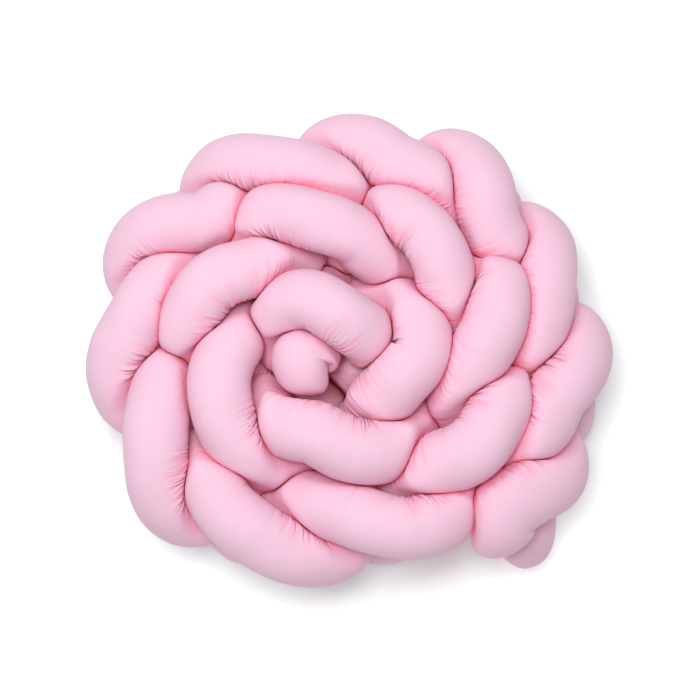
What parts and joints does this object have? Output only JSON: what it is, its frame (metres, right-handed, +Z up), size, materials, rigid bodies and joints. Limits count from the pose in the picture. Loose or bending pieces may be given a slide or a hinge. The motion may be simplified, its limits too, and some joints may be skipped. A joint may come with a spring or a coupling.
{
  "type": "knot crib bumper",
  "caption": "Long stuffed cotton tubes plaited into a soft padded border for the inside of a crib, rolled up on its edge into a round coil.",
  "frame": {"origin": "middle of the coil's footprint, on the surface that it rests on", "axes": "+Z up, across the plait's width; +X along the coil's longest side; -Y towards the side where the free outer tube end sticks out"},
  "size_m": [0.5372, 0.4878, 0.1927],
  "materials": {
    "cloth": "matt plain-woven pale pink cotton"
  },
  "bodies": {
    "root": {"tube_1": "cloth", "tube_2": "cloth", "tube_3": "cloth"}
  },
  "joints": []
}
